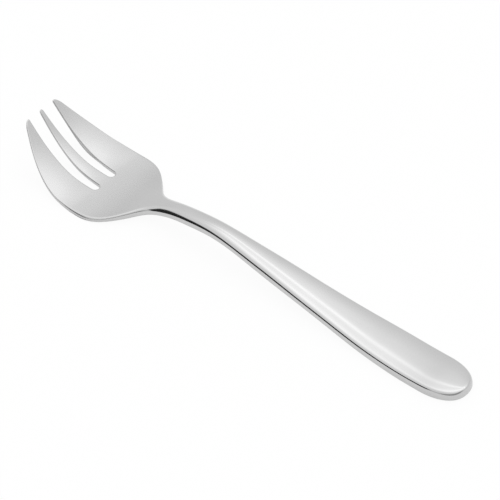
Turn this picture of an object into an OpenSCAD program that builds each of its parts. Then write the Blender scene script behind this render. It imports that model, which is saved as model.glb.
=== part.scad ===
// Oyster fork, one piece of stainless steel with nothing fixed to it and nothing that moves.
// It lies on its back on z = 0, tine tips toward -X, handle end toward +X, even about y = 0.
// The plan outline is the stamped blank. The sheet is the same steel bent, thinned and crowned.

/* [Head] */
// Length over all, from the tine tips to the handle end
fork_length = 143; // [125:1:165]
// Width across the shoulders, where the head is widest
head_width = 28; // [24:0.1:32]
// Distance from the tips back to the widest part of the head
flare_length = 25; // [24:0.5:27]
// Distance from the widest part back to where the neck starts
shoulder_length = 19; // [17:0.5:22]
// Width over the tips of the two outer tines
tip_span = 12.1; // [11:0.1:14]

/* [Tines] */
// Distance from the tips to the closed end of the slots
tine_length = 22.8; // [18:0.1:23.5]
// Width of an outer tine at its tip
outer_tip_width = 1.4; // [1:0.05:2]
// Width of the middle tine at its tip
middle_tip_width = 1.1; // [0.8:0.05:2]
// Width of the middle tine at its root
middle_root_width = 4; // [3.4:0.1:5]
// Width of a slot at its closed end, which is a half circle
slot_width = 2.4; // [1.8:0.1:2.8]
// Length over which an outer tip is rounded off on its outer side
tip_rounding = 1.3; // [0.8:0.05:1.8]
// Length over which an outer tip is rounded off on its inner side
inner_tip_rounding = 0.35; // [0.2:0.05:0.7]
// Length over which the middle tip is rounded off
middle_tip_rounding = 0.6; // [0.4:0.05:1]

/* [Neck and handle] */
// Width where the shoulders run into the neck
neck_start_width = 5.9; // [5:0.05:6.6]
// Width of the neck at its narrowest
neck_width = 5.35; // [4.8:0.05:6]
// Distance from where the neck starts back to its narrowest place
neck_length = 10; // [8:0.5:14]
// Greatest width of the handle
handle_width = 13.15; // [11:0.05:15]
// Length of the rounded handle end
end_length = 11.2; // [8:0.1:14]

/* [Bend] */
// Height of the underside at the tine tips
tip_rise = 13.4; // [10:0.05:16]
// Height of the underside at the top of the arch behind the head
arch_rise = 6.6; // [4:0.1:8]
// Height of the underside at the very end of the handle
end_rise = 0.6; // [0.3:0.05:1.5]
// Distance from the tips to the middle of the place where the head rests
sole_at = 24; // [22:0.5:26]
// Length of the flat on which the head rests
sole_flat = 4; // [3:0.5:6]
// Distance from the tips to the top of the arch
arch_at = 61; // [56:0.5:66]
// Distance from the handle end to the middle of the place where the handle rests
rest_from_end = 13; // [11:0.5:18]
// Length of the flat on which the handle rests
rest_flat = 6; // [5:0.5:9]

/* [Thickness] */
// Thickness at the tine tips, measured upright
tip_thickness = 0.75; // [0.6:0.05:1.2]
// Thickness of the head as far back as its shoulders
head_thickness = 1.25; // [1:0.05:1.6]
// Thickness where the neck starts, before its edges are rounded
neck_thickness = 2.25; // [2:0.05:3]
// Thickness halfway along the handle, before its edges are rounded
handle_thickness = 1.85; // [1.6:0.05:2.6]
// Thickness where the rounded handle end starts, before its edges are rounded
swell_thickness = 2.5; // [2:0.05:3]
// Thickness at the very end of the handle, before its edges are rounded
end_thickness = 2.1; // [1.6:0.05:2.6]
// Height by which the middle of the handle stands above its edges
handle_crown = 0.65; // [0.3:0.05:0.9]

/* [Rounded upper edges] */
// How far in the rounding reaches where the neck starts
neck_edge_reach = 2; // [1.2:0.1:2.3]
// How far down it goes there
neck_edge_depth = 1.5; // [0.8:0.05:1.7]
// How far in the rounding reaches along the handle
handle_edge_reach = 1.1; // [0.6:0.1:1.8]
// How far down it goes there
handle_edge_depth = 0.7; // [0.4:0.05:1]

/* [Hidden] */

// Steps along the sheet, across it, along an edge of the outline and round one of its curves
rows = 96;
columns = 16;
edge_steps = 56;
round_steps = 10;
// How far the sheet and the outline run past each other before they are cut
overrun = 0.5;
// Fullness of the rounded handle end, where 2 is an ellipse and more is squarer
end_power = 2.4;
// Fullness of the crown across the handle, where 2 is a parabola and more is flatter on top
crown_power = 2.2;
// Where the point of an outer tip lies, as a share of its width out from its inner side
tip_point_share = 0.3;

// Edge of the head from tip to widest part, as shares of the distance and of the gain in width
flare_place_shares = [0.2, 0.4, 0.6, 0.8];
flare_width_shares = [0.4, 0.7, 0.885, 0.97];
// Shoulder from widest part to neck, as shares of the distance and of the loss of width
shoulder_place_shares = [0.16, 0.32, 0.48, 0.6, 0.74, 0.87];
shoulder_width_shares = [0.04, 0.178, 0.415, 0.625, 0.864, 0.969];
// Handle from narrowest place to rounded end, as shares of the distance and of the gain in width
handle_place_shares = [0.1, 0.25, 0.4, 0.6, 0.8, 0.92];
handle_width_shares = [0.015, 0.185, 0.395, 0.655, 0.94, 1];
// Middle tine from tip to root, as shares of the distance and of the gain in width
middle_place_shares = [0.5];
middle_width_shares = [0.67];
// Fall of the underside from tips to sole, as shares of the distance and of the fall
tine_place_shares = [0.22, 0.44, 0.66, 0.86];
tine_fall_shares = [0.397, 0.701, 0.9, 0.978];
// Climb of the underside from sole to arch, as shares of the distance and of the climb
back_place_shares = [0.15, 0.35, 0.57, 0.78];
back_climb_shares = [0.07, 0.282, 0.69, 0.885];
// Fall of the underside from arch to rest, as shares of the distance and of the fall
grip_place_shares = [0.23, 0.485, 0.75, 0.87];
grip_fall_shares = [0.203, 0.515, 0.833, 0.93];
// Thickening of the tines, as shares of their length and of the gain in thickness
tine_thick_place_shares = [0.4, 0.72];
tine_thick_shares = [0.22, 0.65];
// Thickening of the shoulder, as shares of its length and of the gain in thickness
shoulder_thick_place_shares = [0.35, 0.7];
shoulder_thick_shares = [0.1, 0.98];
// Thinning from neck to mid handle, as shares of the distance and of the loss of thickness
neck_thick_place_shares = [0.12, 0.22, 0.33, 0.43, 0.53, 0.74];
neck_thick_shares = [0.15, 0.38, 0.7, 1, 1.1, 0.55];
// Thickening from mid handle to the rounded end, as shares of the distance and of the gain in thickness
swell_thick_place_shares = [0.18, 0.44, 0.7];
swell_thick_shares = [0.04, 0.2, 0.55];
// Thinning of the rounded end, as shares of its length and of the loss of thickness
end_thick_place_shares = [0.375, 0.73];
end_thick_shares = [-0.09, 0.415];
// Crown from neck to handle end, as shares of the distance and of the crown's height
crown_place_shares = [-0.04, 0.01, 0.06, 0.12, 0.18, 0.36, 0.52, 0.67, 0.82, 1];
crown_height_shares = [0, 0.15, 0.55, 0.9, 1.03, 1, 1.06, 1.1, 1.1, 1];
// Rounding at the narrowest place, as shares of the way from the handle's to the neck's
waist_reach_share = 0.5;
waist_depth_share = 0.3;

shoulder_end = flare_length + shoulder_length;
waist_at = shoulder_end + neck_length;
end_from = fork_length - end_length;
rest_at = fork_length - rest_from_end;
mid_handle = (waist_at + end_from) / 2;
slot_floor = tine_length - slot_width / 2;
slot_middle = (middle_root_width + slot_width) / 2;

// Value that lies this share of the way from a to b
function mix(a, b, share) = a + (b - a) * share;

// Points of a run between two [place, size] pairs, from shares of its length and of its change
function run(from, to, places, sizes) = [
    for (i = [0:len(places) - 1])
        [mix(from[0], to[0], places[i]), mix(from[1], to[1], sizes[i])]
];

// One step of the elimination that finds how a smooth curve bends at its points
function eliminate(p, i, last) =
    let (
        before = p[i][0] - p[i - 1][0],
        after = p[i + 1][0] - p[i][0],
        turn = 6 * ((p[i + 1][1] - p[i][1]) / after - (p[i][1] - p[i - 1][1]) / before),
        pivot = 2 * (before + after) - before * last[0]
    )
    [after / pivot, (turn - before * last[1]) / pivot];

// Results of those steps, one for each point but the last
function sweep(p) =
    let (end = len(p) - 1)
    [
        for (i = 0, last = [0, 0]; i < end; i = i + 1, last = i < end ? eliminate(p, i, last) : last)
            last
    ];

// Bend of the smooth curve at each of its points, with none at its two ends
function bends(p) =
    let (
        f = sweep(p),
        back = [
            for (i = len(p) - 1, m = 0; i >= 0; i = i - 1, m = i > 0 ? f[i][1] - f[i][0] * m : 0) m
        ]
    )
    [for (i = [len(p) - 1:-1:0]) back[i]];

// Size at place x of the smooth curve through points p with bends m
function curve(p, m, x) =
    let (
        passed = len([for (q = p) if (q[0] <= x) q]),
        i = max(0, min(len(p) - 2, passed - 1)),
        span = p[i + 1][0] - p[i][0],
        b = (x - p[i][0]) / span,
        a = 1 - b
    )
    a * p[i][1] + b * p[i + 1][1] + ((a ^ 3 - a) * m[i] + (b ^ 3 - b) * m[i + 1]) * span ^ 2 / 6;

// Half width of the outline
tip_edge = [0, tip_span / 2];
widest_edge = [flare_length, head_width / 2];
neck_edge = [shoulder_end, neck_start_width / 2];
waist_edge = [waist_at, neck_width / 2];
grip_edge = [end_from, handle_width / 2];
edge_points = [
    tip_edge,
    each run(tip_edge, widest_edge, flare_place_shares, flare_width_shares),
    widest_edge,
    each run(widest_edge, neck_edge, shoulder_place_shares, shoulder_width_shares),
    neck_edge,
    waist_edge,
    each run(waist_edge, grip_edge, handle_place_shares, handle_width_shares),
    grip_edge
];
edge_bends = bends(edge_points);
function half_width(x) = curve(edge_points, edge_bends, min(x, end_from));

// Half width of the middle tine
middle_tip = [0, middle_tip_width / 2];
middle_root = [slot_floor, middle_root_width / 2];
middle_points = [
    middle_tip,
    each run(middle_tip, middle_root, middle_place_shares, middle_width_shares),
    middle_root
];
middle_bends = bends(middle_points);
function middle_half(x) = curve(middle_points, middle_bends, x);

// Inner edge of an outer tine
function inner_edge(x) =
    mix(tip_span / 2 - outer_tip_width, middle_root_width / 2 + slot_width, x / slot_floor);

// Height of the underside, which dips just below the table at the two resting flats
tip_under = [0, tip_rise];
sole_front = [sole_at - sole_flat / 2, 0];
sole_back = [sole_at + sole_flat / 2, 0];
arch_under = [arch_at, arch_rise];
rest_front = [rest_at - rest_flat / 2, 0];
rest_back = [rest_at + rest_flat / 2, 0];
under_points = [
    tip_under,
    each run(tip_under, sole_front, tine_place_shares, tine_fall_shares),
    sole_front,
    sole_back,
    each run(sole_back, arch_under, back_place_shares, back_climb_shares),
    arch_under,
    each run(arch_under, rest_front, grip_place_shares, grip_fall_shares),
    rest_front,
    rest_back,
    [fork_length, end_rise]
];
under_bends = bends(under_points);
function underside(x) = curve(under_points, under_bends, x);

// Upright thickness before the crown and the rounded edges
tip_metal = [0, tip_thickness];
head_metal = [flare_length, head_thickness];
neck_metal = [shoulder_end, neck_thickness];
grip_metal = [mid_handle, handle_thickness];
swell_metal = [end_from, swell_thickness];
end_metal = [fork_length, end_thickness];
thick_points = [
    tip_metal,
    each run(tip_metal, head_metal, tine_thick_place_shares, tine_thick_shares),
    head_metal,
    each run(head_metal, neck_metal, shoulder_thick_place_shares, shoulder_thick_shares),
    neck_metal,
    each run(neck_metal, grip_metal, neck_thick_place_shares, neck_thick_shares),
    grip_metal,
    each run(grip_metal, swell_metal, swell_thick_place_shares, swell_thick_shares),
    swell_metal,
    each run(swell_metal, end_metal, end_thick_place_shares, end_thick_shares),
    end_metal
];
thick_bends = bends(thick_points);
function thickness(x) = curve(thick_points, thick_bends, x);

// Rise of the middle above the edges, which starts at the end of the shoulders
crown_points = run([shoulder_end, 0], [fork_length, handle_crown], crown_place_shares, crown_height_shares);
crown_bends = bends(crown_points);
function crown(x) = x < crown_points[0][0] ? 0 : curve(crown_points, crown_bends, x);

// Reach and depth of the rounded upper edges, which start at the widest part of the head
reach_points = [
    [flare_length, handle_edge_reach],
    [shoulder_end, neck_edge_reach],
    [waist_at, mix(handle_edge_reach, neck_edge_reach, waist_reach_share)],
    [mid_handle, handle_edge_reach],
    [fork_length, handle_edge_reach]
];
depth_points = [
    [flare_length, 0],
    [shoulder_end, neck_edge_depth],
    [waist_at, mix(handle_edge_depth, neck_edge_depth, waist_depth_share)],
    [mid_handle, handle_edge_depth],
    [fork_length, handle_edge_depth]
];
reach_bends = bends(reach_points);
depth_bends = bends(depth_points);

// Height lost to the rounding at this distance in from the edge
function edge_drop(x, inward) =
    let (
        at = max(flare_length, x),
        left = max(0, min(1, 1 - inward / curve(reach_points, reach_bends, at)))
    )
    curve(depth_points, depth_bends, at) * left ^ 2;

// Share of its full width that a rounded tip has at this share of its rounding
function tip_share(u) = sqrt(1 - (1 - min(u, 1)) ^ 2);

// Places along an edge, close together where a tip is rounded and then even
function edge_places(rounding, to, count) = [
    for (i = [1:round_steps]) rounding * (1 - cos(90 * i / round_steps)),
    for (i = [1:count]) mix(rounding, to, i / count)
];
middle_places = edge_places(middle_tip_rounding, slot_floor, round_steps);
inner_places = edge_places(inner_tip_rounding, slot_floor, round_steps);
outer_places = edge_places(tip_rounding, end_from, edge_steps);

// The two edges of an outer tine, which meet at its point
function tip_point(x) = mix(inner_edge(x), half_width(x), tip_point_share);
function rounded_inner(x) = mix(tip_point(x), inner_edge(x), tip_share(x / inner_tip_rounding));
function rounded_outer(x) = mix(tip_point(x), half_width(x), tip_share(x / tip_rounding));

// One half of the outline, from the middle of the middle tip round to the middle of the handle end
half_outline = [
    [0, 0],
    for (x = middle_places) [x, middle_half(x) * tip_share(x / middle_tip_rounding)],
    for (i = [1:round_steps - 1])
        let (turn = 180 * i / round_steps)
        [slot_floor + sin(turn) * slot_width / 2, slot_middle - cos(turn) * slot_width / 2],
    for (i = [len(inner_places) - 1:-1:0]) [inner_places[i], rounded_inner(inner_places[i])],
    [0, tip_point(0)],
    for (x = outer_places) [x, rounded_outer(x)],
    for (i = [1:round_steps])
        let (turn = 90 * i / round_steps)
        [
            end_from + end_length * sin(turn) ^ (2 / end_power),
            handle_width / 2 * max(0, cos(turn)) ^ (2 / end_power)
        ]
];

// The plan outline, run up past the highest point of the sheet
module blank() {
    highest = max(tip_rise + tip_thickness, arch_rise + neck_thickness + handle_crown);
    mirrored = [for (i = [len(half_outline) - 2:-1:1]) [half_outline[i][0], -half_outline[i][1]]];
    translate([0, 0, -overrun])
        linear_extrude(highest + 2 * overrun)
            polygon([each half_outline, each mirrored]);
}

// A strip a little larger than the outline all round, with the fork's own top and underside
module sheet() {
    places = [for (i = [0:rows]) mix(-overrun, fork_length + overrun, i / rows)];
    shares = [for (j = [0:columns]) sin(mix(-90, 90, j / columns))];
    top = [
        for (x = places, share = shares)
            let (half = half_width(x), y = share * (half + overrun), side = abs(y))
            [
                x,
                y,
                underside(x) + thickness(x) + crown(x) * (1 - (side / half) ^ crown_power)
                    - edge_drop(x, half - side)
            ]
    ];
    bottom = [
        for (x = places, share = shares)
            [x, share * (half_width(x) + overrun), max(0, underside(x))]
    ];
    across = columns + 1;
    count = len(top);
    cells = [for (i = [0:rows - 1], j = [0:columns - 1]) i * across + j];
    front = [for (j = [0:columns - 1]) j];
    side = [for (i = [0:rows - 1]) i * across];
    faces = [
        for (c = cells) each [[c, c + 1, c + across], [c + 1, c + across + 1, c + across]],
        for (c = cells)
            let (b = c + count)
            each [[b, b + across, b + 1], [b + 1, b + across, b + across + 1]],
        for (j = front) each [[j, j + count, j + 1], [j + 1, j + count, j + count + 1]],
        for (j = front)
            let (e = j + rows * across)
            each [[e, e + 1, e + count], [e + 1, e + count + 1, e + count]],
        for (c = side) each [[c, c + across, c + count], [c + across, c + across + count, c + count]],
        for (c = side)
            let (e = c + columns)
            each [[e, e + count, e + across], [e + across, e + count, e + across + count]]
    ];
    polyhedron(points = [each top, each bottom], faces = faces);
}

module fork() {
    color("silver")
        translate([-fork_length / 2, 0, 0])
            intersection() {
                sheet();
                blank();
            }
}

fork();
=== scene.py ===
import math

import bpy
import numpy as np
from mathutils import Matrix, Vector


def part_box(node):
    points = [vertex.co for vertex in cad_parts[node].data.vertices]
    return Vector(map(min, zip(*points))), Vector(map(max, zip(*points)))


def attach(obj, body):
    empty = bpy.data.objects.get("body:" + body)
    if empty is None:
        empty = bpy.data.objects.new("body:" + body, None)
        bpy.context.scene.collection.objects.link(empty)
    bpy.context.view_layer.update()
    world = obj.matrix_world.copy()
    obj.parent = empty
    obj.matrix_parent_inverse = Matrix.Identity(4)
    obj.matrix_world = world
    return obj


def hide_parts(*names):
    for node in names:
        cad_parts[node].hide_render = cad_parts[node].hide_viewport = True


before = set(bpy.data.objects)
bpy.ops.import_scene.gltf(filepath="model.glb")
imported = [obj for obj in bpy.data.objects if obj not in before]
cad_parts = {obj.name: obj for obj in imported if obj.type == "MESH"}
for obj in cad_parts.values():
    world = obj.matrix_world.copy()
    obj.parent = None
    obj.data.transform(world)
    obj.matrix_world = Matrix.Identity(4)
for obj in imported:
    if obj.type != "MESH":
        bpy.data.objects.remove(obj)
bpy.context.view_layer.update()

# Sizes of the fork in millimetres. Places along it are measured from the tine tips.
MM = 0.001
FORK_LOW, FORK_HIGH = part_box("fork")
FORK_LENGTH = (FORK_HIGH[0] - FORK_LOW[0]) / MM
# Outline of the head and its tines
HEAD_WIDTH = 28.0
FLARE_LENGTH = 25
SHOULDER_LENGTH = 19
TIP_SPAN = 12.1
TINE_LENGTH = 22.8
OUTER_TIP_WIDTH = 1.4
TINE_BOW = 0.12
MIDDLE_TIP_WIDTH = 1.1
MIDDLE_ROOT_WIDTH = 4.0
SLOT_WIDTH = 2.4
TIP_ROUNDING = 1.3
INNER_TIP_ROUNDING = 0.35
MIDDLE_TIP_ROUNDING = 0.6
# Where the point of an outer tine lies across it, from its inner edge
TIP_POINT_SHARE = 0.3
# Outline of the neck and the handle. The end's power is 2 for an ellipse, and more is squarer.
NECK_START_WIDTH = 5.9
NECK_WIDTH = 5.35
NECK_LENGTH = 10
HANDLE_WIDTH = 13.15
END_LENGTH = 11.2
END_POWER = 2.4
# Bend of the underside: how far it rises off the table, and where it lies flat on it
TIP_RISE = 13.4
ARCH_RISE = 6.6
END_RISE = 0.6
SOLE_AT = 24
SOLE_FLAT = 4
ARCH_AT = 61
REST_FROM_END = 13
REST_FLAT = 6
# Upright thickness at the edges, the handle's rise to its middle, and the bulge of the side walls
TIP_THICKNESS = 0.75
HEAD_THICKNESS = 1.25
NECK_THICKNESS = 2.25
HANDLE_THICKNESS = 1.85
SWELL_THICKNESS = 2.5
END_THICKNESS = 2.1
HANDLE_CROWN = 0.65
WALL_BULGE = 0.08

SHOULDER_END = FLARE_LENGTH + SHOULDER_LENGTH
WAIST_AT = SHOULDER_END + NECK_LENGTH
END_FROM = FORK_LENGTH - END_LENGTH
REST_AT = FORK_LENGTH - REST_FROM_END
MID_HANDLE = (WAIST_AT + END_FROM) / 2
SLOT_FLOOR = TINE_LENGTH - SLOT_WIDTH / 2
SLOT_MIDDLE = (MIDDLE_ROOT_WIDTH + SLOT_WIDTH) / 2

# Rows of the mesh on each stretch of the fork, columns on each tine, and steps down the side walls
TIP_ROWS = 14
TINE_ROWS = 42
SLOT_ROWS = 12
ROOT_ROWS = 14
BODY_ROWS = 200
END_ROWS = 30
OUTER_COLUMNS = 32
MIDDLE_COLUMNS = 20
WALL_STEPS = 4
# Angles in degrees of the first row round the tips, and of the last rows round the slot and handle ends
FIRST_TIP_ANGLE = 3.5
LAST_SLOT_ANGLE = 85.5
LAST_END_ANGLE = 88.5
# Least half width that a place across the fork is measured against
LEAST_HALF_WIDTH = 0.01


class Curve:
    """Smooth curve through (place, size) points, with no bend at its two ends."""

    def __init__(self, points):
        self.places, self.sizes = np.array(points, float).T
        count = len(points)
        gaps = np.diff(self.places)
        matrix = np.eye(count)
        turns = np.zeros(count)
        slopes = np.diff(self.sizes) / gaps
        for i in range(1, count - 1):
            matrix[i, i - 1:i + 2] = gaps[i - 1], 2 * (gaps[i - 1] + gaps[i]), gaps[i]
            turns[i] = 6 * (slopes[i] - slopes[i - 1])
        self.bends = np.linalg.solve(matrix, turns)

    def __call__(self, at):
        """Size at one place or at many, held at the end points outside them."""
        at = np.clip(at, self.places[0], self.places[-1])
        i = np.clip(np.searchsorted(self.places, at, side="right") - 1, 0, len(self.places) - 2)
        span = self.places[i + 1] - self.places[i]
        b = (at - self.places[i]) / span
        a = 1 - b
        bent = (a ** 3 - a) * self.bends[i] + (b ** 3 - b) * self.bends[i + 1]
        return a * self.sizes[i] + b * self.sizes[i + 1] + bent * span ** 2 / 6


def between(start, end, place_shares, size_shares):
    """Points between two (place, size) pairs, as shares of the distance and of the change."""
    return [
        (start[0] + (end[0] - start[0]) * place, start[1] + (end[1] - start[1]) * size)
        for place, size in zip(place_shares, size_shares)
    ]


def width_curve():
    """Half width of the outline from the tips to the rounded handle end."""
    tip = (0, TIP_SPAN / 2)
    widest = (FLARE_LENGTH, HEAD_WIDTH / 2)
    neck = (SHOULDER_END, NECK_START_WIDTH / 2)
    waist = (WAIST_AT, NECK_WIDTH / 2)
    grip = (END_FROM, HANDLE_WIDTH / 2)
    flare = between(tip, widest, [0.2, 0.4, 0.6, 0.8], [0.4, 0.7, 0.885, 0.97])
    shoulder = between(
        widest, neck, [0.16, 0.32, 0.48, 0.6, 0.74, 0.87], [0.04, 0.178, 0.415, 0.625, 0.864, 0.969]
    )
    handle = between(
        waist, grip, [0.1, 0.25, 0.4, 0.6, 0.8, 0.92], [0.015, 0.185, 0.395, 0.655, 0.94, 1]
    )
    return Curve([tip, *flare, widest, *shoulder, neck, waist, *handle, grip])


def middle_curve():
    """Half width of the middle tine."""
    tip = (0, MIDDLE_TIP_WIDTH / 2)
    root = (SLOT_FLOOR, MIDDLE_ROOT_WIDTH / 2)
    return Curve([tip, *between(tip, root, [0.5], [0.67]), root])


def underside_curve():
    """Height of the underside above the table."""
    tip = (0, TIP_RISE)
    sole_front = (SOLE_AT - SOLE_FLAT / 2, 0)
    sole_back = (SOLE_AT + SOLE_FLAT / 2, 0)
    arch = (ARCH_AT, ARCH_RISE)
    rest_front = (REST_AT - REST_FLAT / 2, 0)
    rest_back = (REST_AT + REST_FLAT / 2, 0)
    end = (FORK_LENGTH, END_RISE)
    tine = between(tip, sole_front, [0.22, 0.44, 0.66, 0.86], [0.397, 0.701, 0.9, 0.978])
    back = between(sole_back, arch, [0.15, 0.35, 0.57, 0.78], [0.07, 0.282, 0.69, 0.885])
    grip = between(arch, rest_front, [0.23, 0.485, 0.75, 0.87], [0.203, 0.515, 0.833, 0.93])
    return Curve([tip, *tine, sole_front, sole_back, *back, arch, *grip, rest_front, rest_back, end])


def thickness_curve():
    """Upright thickness at the edges."""
    tip = (0, TIP_THICKNESS)
    head = (FLARE_LENGTH, HEAD_THICKNESS)
    neck = (SHOULDER_END, NECK_THICKNESS)
    grip = (MID_HANDLE, HANDLE_THICKNESS)
    swell = (END_FROM, SWELL_THICKNESS)
    end = (FORK_LENGTH, END_THICKNESS)
    return Curve([
        tip,
        *between(tip, head, [0.4, 0.72], [0.22, 0.65]),
        head,
        *between(head, neck, [0.35, 0.7], [0.1, 0.98]),
        neck,
        *between(neck, grip, [0.12, 0.22, 0.33, 0.43, 0.53, 0.74], [0.15, 0.38, 0.7, 1, 1.1, 0.55]),
        grip,
        *between(grip, swell, [0.18, 0.44, 0.7], [0.04, 0.2, 0.55]),
        swell,
        *between(swell, end, [0.375, 0.73], [-0.09, 0.415]),
        end,
    ])


def crown_curve():
    """Rise of the middle of the handle above its edges."""
    start = (SHOULDER_END, 0)
    end = (FORK_LENGTH, HANDLE_CROWN)
    place_shares = [-0.04, 0.01, 0.06, 0.12, 0.18, 0.36, 0.52, 0.67, 0.82, 1]
    height_shares = [0, 0.15, 0.55, 0.9, 1.03, 1, 1.06, 1.1, 1.1, 1]
    return Curve(between(start, end, place_shares, height_shares))


edge_half = width_curve()
middle_half = middle_curve()
underside = underside_curve()
thickness = thickness_curve()
crown = crown_curve()
# How full the handle's crown is across, where 2 is a parabola
crown_power = Curve([(50, 2), (80, 2), (100, 2.3), (FORK_LENGTH, 2.3)])
# Slope of the top at the edges of each tine, which is slightly crowned across
tine_slope = Curve([
    (0, 0.03), (5, 0.05), (10, 0.085), (14, 0.1), (17, 0.085),
    (19, 0.055), (20.8, 0.022), (22, 0.004), (TINE_LENGTH, 0),
])

# Rounding of the upper outer edge: the place, how far in it reaches and how far down
EDGE_ROUNDING = [
    (0, 0.3, 0.4), (8, 0.2, 0.2), (14, 0.14, 0.14), (18, 0.14, 0.14), (21, 0.4, 0.5),
    (26, 0.6, 0.85), (31, 0.7, 0.5), (37, 1, 0.95), (42, 1.8, 1.6), (47, 2.1, 1.5),
    (55, 1.6, 0.92), (62, 1.5, 0.72), (72, 1.3, 0.72), (82, 1.25, 0.82), (95, 1.1, 0.74),
    (110, 1, 0.72), (130, 0.95, 0.6), (137, 0.85, 0.7), (FORK_LENGTH, 0.85, 1),
]
round_in = Curve([(place, inward) for place, inward, down in EDGE_ROUNDING])
round_down = Curve([(place, down) for place, inward, down in EDGE_ROUNDING])
# Rounding of the upper edges in the slots, and of all the lower edges
slot_rounding = Curve([(0, 0.3), (10, 0.25), (23, 0.25)])
lower_rounding = Curve([
    (0, 0.15), (FLARE_LENGTH, 0.15), (SHOULDER_END, 0.2), (80, 0.2), (FORK_LENGTH, 0.2)
])
# How far the foot of the far outer tine's slot wall stands out
far_lean = Curve([(0, 0), (4, 0.05), (8, 0.3), (12, 0.42), (15, 0.15), (17, 0), (23, 0)])


def half_width(at):
    """Half width of the outline anywhere, with the rounded handle end."""
    reach = np.clip((at - END_FROM) / END_LENGTH, 0, 1)
    rounded = HANDLE_WIDTH / 2 * (1 - reach ** END_POWER) ** (1 / END_POWER)
    return np.where(at <= END_FROM, edge_half(at), rounded)


def tip_share(at, rounding):
    """Share of the full width that a rounded tip has this far from its point."""
    return math.sqrt(1 - (1 - min(at / rounding, 1)) ** 2)


def strip_edges(at):
    """Sideways places of the six tine edges in one row, from the near side to the far side."""
    outer = float(half_width(at))
    if at >= TINE_LENGTH:
        inner = middle = SLOT_MIDDLE * outer / float(half_width(TINE_LENGTH))
    elif at >= SLOT_FLOOR:
        gap = math.sqrt((SLOT_WIDTH / 2) ** 2 - (at - SLOT_FLOOR) ** 2)
        inner = SLOT_MIDDLE + gap
        middle = SLOT_MIDDLE - gap
    else:
        tip_inner = TIP_SPAN / 2 - OUTER_TIP_WIDTH
        root_inner = MIDDLE_ROOT_WIDTH / 2 + SLOT_WIDTH
        bow = TINE_BOW * math.sin(math.pi * at / SLOT_FLOOR)
        inner = tip_inner + (root_inner - tip_inner) * at / SLOT_FLOOR + bow
        middle = float(middle_half(at))
        point = inner + (outer - inner) * TIP_POINT_SHARE
        outer = point + (outer - point) * tip_share(at, TIP_ROUNDING)
        inner = point - (point - inner) * tip_share(at, INNER_TIP_ROUNDING)
        middle *= tip_share(at, MIDDLE_TIP_ROUNDING)
    return [-outer, -inner, -middle, middle, inner, outer]


def row_places():
    """Places of the rows, close together wherever an edge runs across the fork."""
    tip_turns = np.radians(np.linspace(FIRST_TIP_ANGLE, 90, TIP_ROWS))
    slot_turns = np.radians(np.linspace(0, LAST_SLOT_ANGLE, SLOT_ROWS)[1:])
    end_turns = np.radians(np.linspace(0, LAST_END_ANGLE, END_ROWS)[1:])
    tip = TIP_ROUNDING * (1 - np.cos(tip_turns))
    tine = np.linspace(TIP_ROUNDING, SLOT_FLOOR, TINE_ROWS)[1:]
    slot = SLOT_FLOOR + SLOT_WIDTH / 2 * np.sin(slot_turns)
    root = TINE_LENGTH + (FLARE_LENGTH - TINE_LENGTH) * np.linspace(0, 1, ROOT_ROWS) ** 2
    body = np.linspace(FLARE_LENGTH, END_FROM, BODY_ROWS)[1:]
    end = END_FROM + END_LENGTH * np.sin(end_turns) ** (2 / END_POWER)
    return np.concatenate([tip, tine, slot, root, body, end])


def column_shares(columns):
    """Places across a strip from 0 to 1, closer together near its two edges."""
    return (1 - np.cos(np.linspace(0, np.pi, columns + 1))) / 2


def plan_grid():
    """Grid of the outline in plan, as three strips that join behind the slots.

    Gives the points, the faces, which points lie on a slot edge, and how far each tine's top rises.
    """
    outer = column_shares(OUTER_COLUMNS)
    middle = column_shares(MIDDLE_COLUMNS)
    points = []
    in_slot = []
    rise = []
    rows = []
    for at in row_places():
        edges = strip_edges(at)
        on_tines = at < TINE_LENGTH
        slope = float(tine_slope(at)) if on_tines else 0
        row = []
        for strip, shares in enumerate([outer, middle, outer]):
            start, end = edges[2 * strip], edges[2 * strip + 1]
            ids = []
            for j, share in enumerate(shares):
                if strip and j == 0 and not on_tines:
                    ids.append(row[-1][-1])
                    continue
                ids.append(len(points))
                points.append((at, start + (end - start) * share))
                faces_slot = (share == 1 and strip < 2) or (share == 0 and strip > 0)
                in_slot.append(faces_slot and on_tines)
                rise.append(slope * (end - start) * share * (1 - share))
            row.append(ids)
        rows.append(row)
    faces = []
    for here, there in zip(rows, rows[1:]):
        for a, b in zip(here, there):
            faces += [(a[j], b[j], b[j + 1], a[j + 1]) for j in range(len(a) - 1)]
    return np.array(points), faces, np.array(in_slot), np.array(rise)


def rim_edges(faces):
    """Edges that only one face uses, in that face's direction."""
    edges = {(a, b) for face in faces for a, b in zip(face, face[1:] + face[:1])}
    return np.array(sorted(edge for edge in edges if edge[::-1] not in edges))


def distance_to(points, starts, ends):
    """Shortest distance in plan from each point to the outline's edges."""
    along = ends - starts
    length = (along ** 2).sum(1)
    nearest = np.empty(len(points))
    for i, point in enumerate(points):
        share = np.clip(((point - starts) * along).sum(1) / length, 0, 1)
        gap = starts + along * share[:, None] - point
        nearest[i] = (gap ** 2).sum(1).min()
    return np.sqrt(nearest)


def edge_profile(distance, inward, down):
    """Height that a rounded edge loses at this distance in from the outline."""
    left = np.clip(1 - distance / inward, 0, 1)
    return down * (1 - np.sqrt(1 - left ** 2))


def outward_directions(plan, rim):
    """Ids of the points on the rim, and the direction in plan that points outward at each."""
    tangent = plan[rim[:, 1]] - plan[rim[:, 0]]
    tangent /= np.linalg.norm(tangent, axis=1)[:, None]
    normal = np.stack([tangent[:, 1], -tangent[:, 0]], 1)
    outward = np.zeros((len(plan), 2))
    np.add.at(outward, rim[:, 0], normal)
    np.add.at(outward, rim[:, 1], normal)
    ids = np.unique(rim)
    return ids, outward[ids] / np.linalg.norm(outward[ids], axis=1)[:, None]


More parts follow.
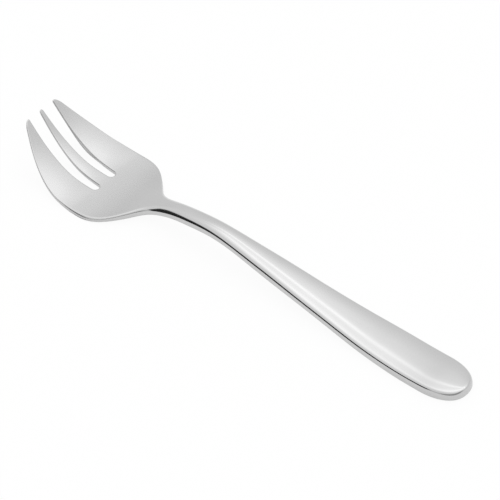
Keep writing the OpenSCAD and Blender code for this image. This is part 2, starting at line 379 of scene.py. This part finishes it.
def surface_heights(plan, rim, in_slot, tine_rise):
    """Heights of the top and of the underside at each point of the plan."""
    slot = in_slot[rim].any(1)
    outer_distance = distance_to(plan, *plan[rim[~slot]].swapaxes(0, 1))
    slot_distance = distance_to(plan, *plan[rim[slot]].swapaxes(0, 1))
    distance = np.minimum(outer_distance, slot_distance)
    at, side = plan.T
    across = np.abs(side / np.maximum(half_width(at), LEAST_HALF_WIDTH))
    rise = crown(at) * (1 - across ** crown_power(at)) + tine_rise
    outer_drop = edge_profile(outer_distance, round_in(at), round_down(at))
    slot_drop = edge_profile(slot_distance, slot_rounding(at), slot_rounding(at))
    low = underside(at)
    top = low + thickness(at) + rise - np.maximum(outer_drop, slot_drop)
    bottom = np.maximum(0, low) + edge_profile(distance, lower_rounding(at), lower_rounding(at))
    return top, bottom


def fork_mesh():
    """The whole fork as one closed mesh: top, underside and the wall between their rims."""
    plan, cells, in_slot, tine_rise = plan_grid()
    rim = rim_edges(cells)
    top, bottom = surface_heights(plan, rim, in_slot, tine_rise)
    rim_ids, outward = outward_directions(plan, rim)
    at, side = plan.T
    lean = np.where(in_slot & (side > SLOT_MIDDLE), far_lean(at), 0)[rim_ids]
    count = len(plan)
    under = plan.copy()
    under[rim_ids] += outward * lean[:, None]
    vertices = [np.column_stack([plan, top]), np.column_stack([under, bottom])]
    rings = [{i: i for i in rim_ids}]
    for step in range(1, WALL_STEPS):
        share = step / WALL_STEPS
        out = WALL_BULGE * math.sin(math.pi * share) + lean * share
        ring = plan[rim_ids] + outward * out[:, None]
        height = top[rim_ids] + (bottom[rim_ids] - top[rim_ids]) * share
        first = 2 * count + (step - 1) * len(rim_ids)
        rings.append({i: first + k for k, i in enumerate(rim_ids)})
        vertices.append(np.column_stack([ring, height]))
    rings.append({i: count + i for i in rim_ids})

    faces = list(cells)
    faces += [tuple(count + i for i in face[::-1]) for face in cells]
    for upper, lower in zip(rings, rings[1:]):
        faces += [(upper[b], upper[a], lower[a], lower[b]) for a, b in rim]
    points = np.concatenate(vertices)
    points[:, 0] -= FORK_LENGTH / 2
    return points * MM, faces


def remap(tree, value, start, end, low, high, kind="LINEAR"):
    """Node output that follows a value from one range into another, held at the ends."""
    node = tree.nodes.new("ShaderNodeMapRange")
    node.interpolation_type = kind
    tree.links.new(value, node.inputs["Value"])
    for name, number in zip(["From Min", "From Max", "To Min", "To Max"], [start, end, low, high]):
        node.inputs[name].default_value = number
    return node.outputs["Result"]


def smooth(tree, value, start, end, low, high):
    """Node output that eases from one level to another over a range, held at the ends."""
    return remap(tree, value, start, end, low, high, "SMOOTHSTEP")


def combine(tree, operation, *values):
    """Output of a math node on plain numbers and other nodes' outputs."""
    node = tree.nodes.new("ShaderNodeMath")
    node.operation = operation
    for socket, value in zip(node.inputs, values):
        if isinstance(value, (int, float)):
            socket.default_value = value
        else:
            tree.links.new(value, socket)
    return node.outputs[0]


def chain(tree, operation, *values):
    """The same math operation over any number of values, from the left."""
    result = values[0]
    for value in values[1:]:
        result = combine(tree, operation, result, value)
    return result


# Finish of the steel. The head is satin and the handle is polished, with a change between two places.
HEAD_ROUGHNESS = 0.26
HANDLE_ROUGHNESS = 0.09
SATIN_ENDS = (31, 40)
HEAD_GREY = 0.56
HANDLE_GREY = 0.58
CLOUD_GREY = 0.012
# Size of one polishing line along the fork and across it, of a hair scratch, and of a cloudy patch
LINE_SIZE = (9, 0.22)
SCRATCH_SIZE = (2.5, 0.12)
CLOUD_SIZE = (14, 14)
# Depth of the lines, the turn of the scratches in degrees, and how finely each pattern breaks up
LINE_DEPTH = 0.0006
SCRATCH_TURN = 24
LINE_DETAIL = 3
SCRATCH_DETAIL = 1
CLOUD_DETAIL = 3
# Part of a pattern's range that counts, and what it adds to the roughness
PATTERN_RANGE = (0.3, 0.7)
PATTERN_ROUGHNESS = (-0.02, 0.03)
SCRATCH_RANGE = (0.66, 0.72)
SCRATCH_ROUGHNESS = (0, 0.06)


def noise(tree, place, size, turn, detail):
    """Cloudy pattern whose patches have this size in millimetres along the fork and across it."""
    along, across = size
    mapping = tree.nodes.new("ShaderNodeMapping")
    mapping.vector_type = "TEXTURE"
    mapping.inputs["Rotation"].default_value = (0, 0, math.radians(turn))
    mapping.inputs["Scale"].default_value = (along * MM, across * MM, across * MM)
    tree.links.new(place, mapping.inputs["Vector"])
    pattern = tree.nodes.new("ShaderNodeTexNoise")
    pattern.inputs["Scale"].default_value = 1
    pattern.inputs["Detail"].default_value = detail
    tree.links.new(mapping.outputs[0], pattern.inputs["Vector"])
    return pattern.outputs[0]


def steel():
    """Stainless steel with polishing lines along the fork, hair scratches and a slightly cloudy finish."""
    material = bpy.data.materials.new("steel")
    material.use_nodes = True
    tree = material.node_tree
    shader = tree.nodes["Principled BSDF"]
    shader.inputs["Metallic"].default_value = 1
    place = tree.nodes.new("ShaderNodeTexCoord").outputs["Object"]
    lines = noise(tree, place, LINE_SIZE, 0, LINE_DETAIL)
    scratches = noise(tree, place, SCRATCH_SIZE, SCRATCH_TURN, SCRATCH_DETAIL)
    clouds = noise(tree, place, CLOUD_SIZE, 0, CLOUD_DETAIL)
    split = tree.nodes.new("ShaderNodeSeparateXYZ")
    tree.links.new(place, split.inputs[0])
    satin, bright = ((end - FORK_LENGTH / 2) * MM for end in SATIN_ENDS)

    polish = remap(tree, split.outputs["X"], satin, bright, HEAD_ROUGHNESS, HANDLE_ROUGHNESS)
    roughness = chain(
        tree,
        "ADD",
        polish,
        remap(tree, lines, *PATTERN_RANGE, *PATTERN_ROUGHNESS),
        remap(tree, scratches, *SCRATCH_RANGE, *SCRATCH_ROUGHNESS),
        remap(tree, clouds, *PATTERN_RANGE, *PATTERN_ROUGHNESS),
    )
    tree.links.new(roughness, shader.inputs["Roughness"])

    grey = remap(tree, split.outputs["X"], satin, bright, HEAD_GREY, HANDLE_GREY)
    shade = combine(tree, "ADD", grey, remap(tree, clouds, *PATTERN_RANGE, -CLOUD_GREY, CLOUD_GREY))
    colour = tree.nodes.new("ShaderNodeCombineColor")
    for socket in colour.inputs:
        tree.links.new(shade, socket)
    tree.links.new(colour.outputs[0], shader.inputs["Base Color"])

    bump = tree.nodes.new("ShaderNodeBump")
    bump.inputs["Distance"].default_value = LINE_DEPTH * MM
    tree.links.new(lines, bump.inputs["Height"])
    tree.links.new(bump.outputs[0], shader.inputs["Normal"])
    return material


def add_fork():
    """The fork's skin, in place of the plain solid."""
    points, faces = fork_mesh()
    mesh = bpy.data.meshes.new("fork_skin")
    mesh.from_pydata(points.tolist(), [], faces)
    mesh.polygons.foreach_set("use_smooth", [True] * len(mesh.polygons))
    mesh.materials.append(steel())
    mesh.validate()
    mesh.update()
    piece = bpy.data.objects.new("fork_skin", mesh)
    bpy.context.collection.objects.link(piece)
    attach(piece, "root")
    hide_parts("fork")


# Half side of the floor in metres, and the grey of its paper
FLOOR_REACH = 12
FLOOR_GREY = 0.92
# Share of plain white in the floor where the camera sees it, and where the steel mirrors it
SEEN_WHITE = 0.93
MIRRORED_WHITE = 0.65


def paper():
    """Pale paper that is nearly plain white where the camera sees it, and partly where the steel does."""
    material = bpy.data.materials.new("floor")
    material.use_nodes = True
    tree = material.node_tree
    tree.nodes.clear()
    output = tree.nodes.new("ShaderNodeOutputMaterial")
    mix = tree.nodes.new("ShaderNodeMixShader")
    lit = tree.nodes.new("ShaderNodeBsdfDiffuse")
    lit.inputs["Color"].default_value = (FLOOR_GREY, FLOOR_GREY, FLOOR_GREY, 1)
    white = tree.nodes.new("ShaderNodeEmission")
    rays = tree.nodes.new("ShaderNodeLightPath").outputs
    mirrored = combine(tree, "MAXIMUM", rays["Is Glossy Ray"], rays["Is Transmission Ray"])
    mirrored_share = combine(tree, "MULTIPLY", mirrored, MIRRORED_WHITE)
    share = combine(tree, "MULTIPLY_ADD", rays["Is Camera Ray"], SEEN_WHITE, mirrored_share)
    tree.links.new(share, mix.inputs["Fac"])
    tree.links.new(lit.outputs[0], mix.inputs[1])
    tree.links.new(white.outputs[0], mix.inputs[2])
    tree.links.new(mix.outputs[0], output.inputs["Surface"])
    return material


def add_floor():
    """The table that the fork lies on."""
    sides = [(-1, -1), (1, -1), (1, 1), (-1, 1)]
    corners = [(x * FLOOR_REACH, y * FLOOR_REACH, 0) for x, y in sides]
    mesh = bpy.data.meshes.new("floor")
    mesh.from_pydata(corners, [], [(0, 1, 2, 3)])
    mesh.materials.append(paper())
    floor = bpy.data.objects.new("floor", mesh)
    bpy.context.collection.objects.link(floor)


# How bright the studio is low down and high up, where 1 is white. Angles are in degrees.
ROOM_LIGHT = (0.91, 0.99)
ROOM_HEIGHTS = (12, 40)
# The soft box hangs over the fork, along it. Each edge is where it starts and where it is full. The long
# edges are turns about the fork's length, from straight up towards the far side. The ends are distances
# along the fork over the height.
BOX_LIGHT = 0.45
BOX_FAR_EDGE = (60, 20)
BOX_NEAR_EDGE = (-34, 2)
BOX_HEAD_END = (-1.05, -0.12)
BOX_HANDLE_END = (1.8, 0.5)
# Share of the box's light that is left past its head end, and the least height that the ends divide by
HEAD_END_LIGHT = 0.05
LEAST_HEIGHT = 0.01
# Two tubes show through its cloth: the turn of each, half its width and its light
TUBES = [(26, 2.6, 0.36), (10, 4.5, 0.25)]
# The studio is dark low down on the near side. Bearings count from straight out on that side, and grow
# towards the handle end. It is darkest to the camera's left, least dark at the middle of the near side,
# and about half dark behind the camera and to its right.
DARK_HEIGHTS = (36, 30)
DARK_LEFT = (-82, -72)
DARK_RIGHT = (105, 75)
DARK_FRONT = (-22, -9)
DARK_AGAIN = (0, 25)
DARK_SHARE = 0.97
FRONT_SHARE = 0.2
RIGHT_SHARE = 0.55


def soft_box(tree, turn, along):
    """Light of the box and its tubes, by the turn about the fork and by the place along it."""
    far_side = smooth(tree, turn, *BOX_FAR_EDGE, 0, BOX_LIGHT)
    near_side = smooth(tree, turn, *BOX_NEAR_EDGE, 0, 1)
    lamps = [combine(tree, "MULTIPLY", far_side, near_side)]
    for middle, width, light in TUBES:
        off = combine(tree, "DIVIDE", combine(tree, "SUBTRACT", turn, middle), width)
        glow = combine(tree, "EXPONENT", chain(tree, "MULTIPLY", off, off, -1))
        lamps.append(combine(tree, "MULTIPLY", glow, light))
    head_end = smooth(tree, along, *BOX_HEAD_END, HEAD_END_LIGHT, 1)
    handle_end = smooth(tree, along, *BOX_HANDLE_END, 0, 1)
    reach = combine(tree, "MULTIPLY", head_end, handle_end)
    return combine(tree, "MULTIPLY", chain(tree, "ADD", *lamps), reach)


def darkness(tree, bearing, lift):
    """Share of the light that is missing, by the bearing and the height in degrees."""
    left = smooth(tree, bearing, *DARK_FRONT, 1, FRONT_SHARE)
    right = smooth(tree, bearing, *DARK_AGAIN, FRONT_SHARE, RIGHT_SHARE)
    return chain(
        tree,
        "MULTIPLY",
        smooth(tree, lift, *DARK_HEIGHTS, 0, DARK_SHARE),
        smooth(tree, bearing, *DARK_LEFT, 0, 1),
        smooth(tree, bearing, *DARK_RIGHT, 0, 1),
        combine(tree, "MAXIMUM", left, right),
    )


def add_world():
    """A white studio with a soft box overhead, and darker low down on the near side."""
    world = bpy.data.worlds.new("studio")
    bpy.context.scene.world = world
    world.use_nodes = True
    tree = world.node_tree
    tree.nodes.clear()
    output = tree.nodes.new("ShaderNodeOutputWorld")
    background = tree.nodes.new("ShaderNodeBackground")
    background.inputs["Color"].default_value = (1, 1, 1, 1)
    coordinates = tree.nodes.new("ShaderNodeTexCoord")
    split = tree.nodes.new("ShaderNodeSeparateXYZ")
    tree.links.new(coordinates.outputs["Generated"], split.inputs[0])

    x, y, z = (split.outputs[name] for name in "XYZ")
    turn = combine(tree, "DEGREES", combine(tree, "ARCTAN2", y, z))
    along = combine(tree, "DIVIDE", x, combine(tree, "MAXIMUM", z, LEAST_HEIGHT))
    outward = combine(tree, "MULTIPLY", y, -1)
    bearing = combine(tree, "DEGREES", combine(tree, "ARCTAN2", x, outward))
    lift = combine(tree, "DEGREES", combine(tree, "ARCSINE", z))

    room = smooth(tree, lift, *ROOM_HEIGHTS, *ROOM_LIGHT)
    light = combine(tree, "ADD", room, soft_box(tree, turn, along))
    bright = combine(tree, "SUBTRACT", 1, darkness(tree, bearing, lift))
    strength = combine(tree, "MULTIPLY", light, bright)
    tree.links.new(strength, background.inputs["Strength"])
    tree.links.new(background.outputs[0], output.inputs["Surface"])


# The camera's place in degrees and metres, and the scale of its picture where it looks
CAMERA_TURN = 39.52
CAMERA_HEIGHT = 44.89
CAMERA_DISTANCE = 1.0
CAMERA_TARGET = Vector((-0.00379, 0.00539, 0))
PIXELS_PER_MM = 3.83
IMAGE_WIDTH = 500
SENSOR_WIDTH = 36
VIEW_DEPTH = 20


def add_camera():
    """Camera on the handle side, over the near side, that looks down at the fork."""
    turn = math.radians(CAMERA_TURN)
    lift = math.radians(CAMERA_HEIGHT)
    back = Vector((math.sin(turn) * math.cos(lift), -math.cos(turn) * math.cos(lift), math.sin(lift)))
    right = Vector((math.cos(turn), math.sin(turn), 0))
    up = back.cross(right)
    data = bpy.data.cameras.new("camera")
    data.sensor_width = SENSOR_WIDTH
    data.lens = PIXELS_PER_MM / MM * CAMERA_DISTANCE * SENSOR_WIDTH / IMAGE_WIDTH
    data.clip_end = VIEW_DEPTH
    camera = bpy.data.objects.new("camera", data)
    bpy.context.collection.objects.link(camera)
    axes = Matrix((right, up, back)).transposed().to_4x4()
    camera.matrix_world = Matrix.Translation(CAMERA_TARGET + back * CAMERA_DISTANCE) @ axes
    bpy.context.scene.camera = camera


add_fork()
add_floor()
add_world()
add_camera()
bpy.context.scene.view_settings.view_transform = "Standard"
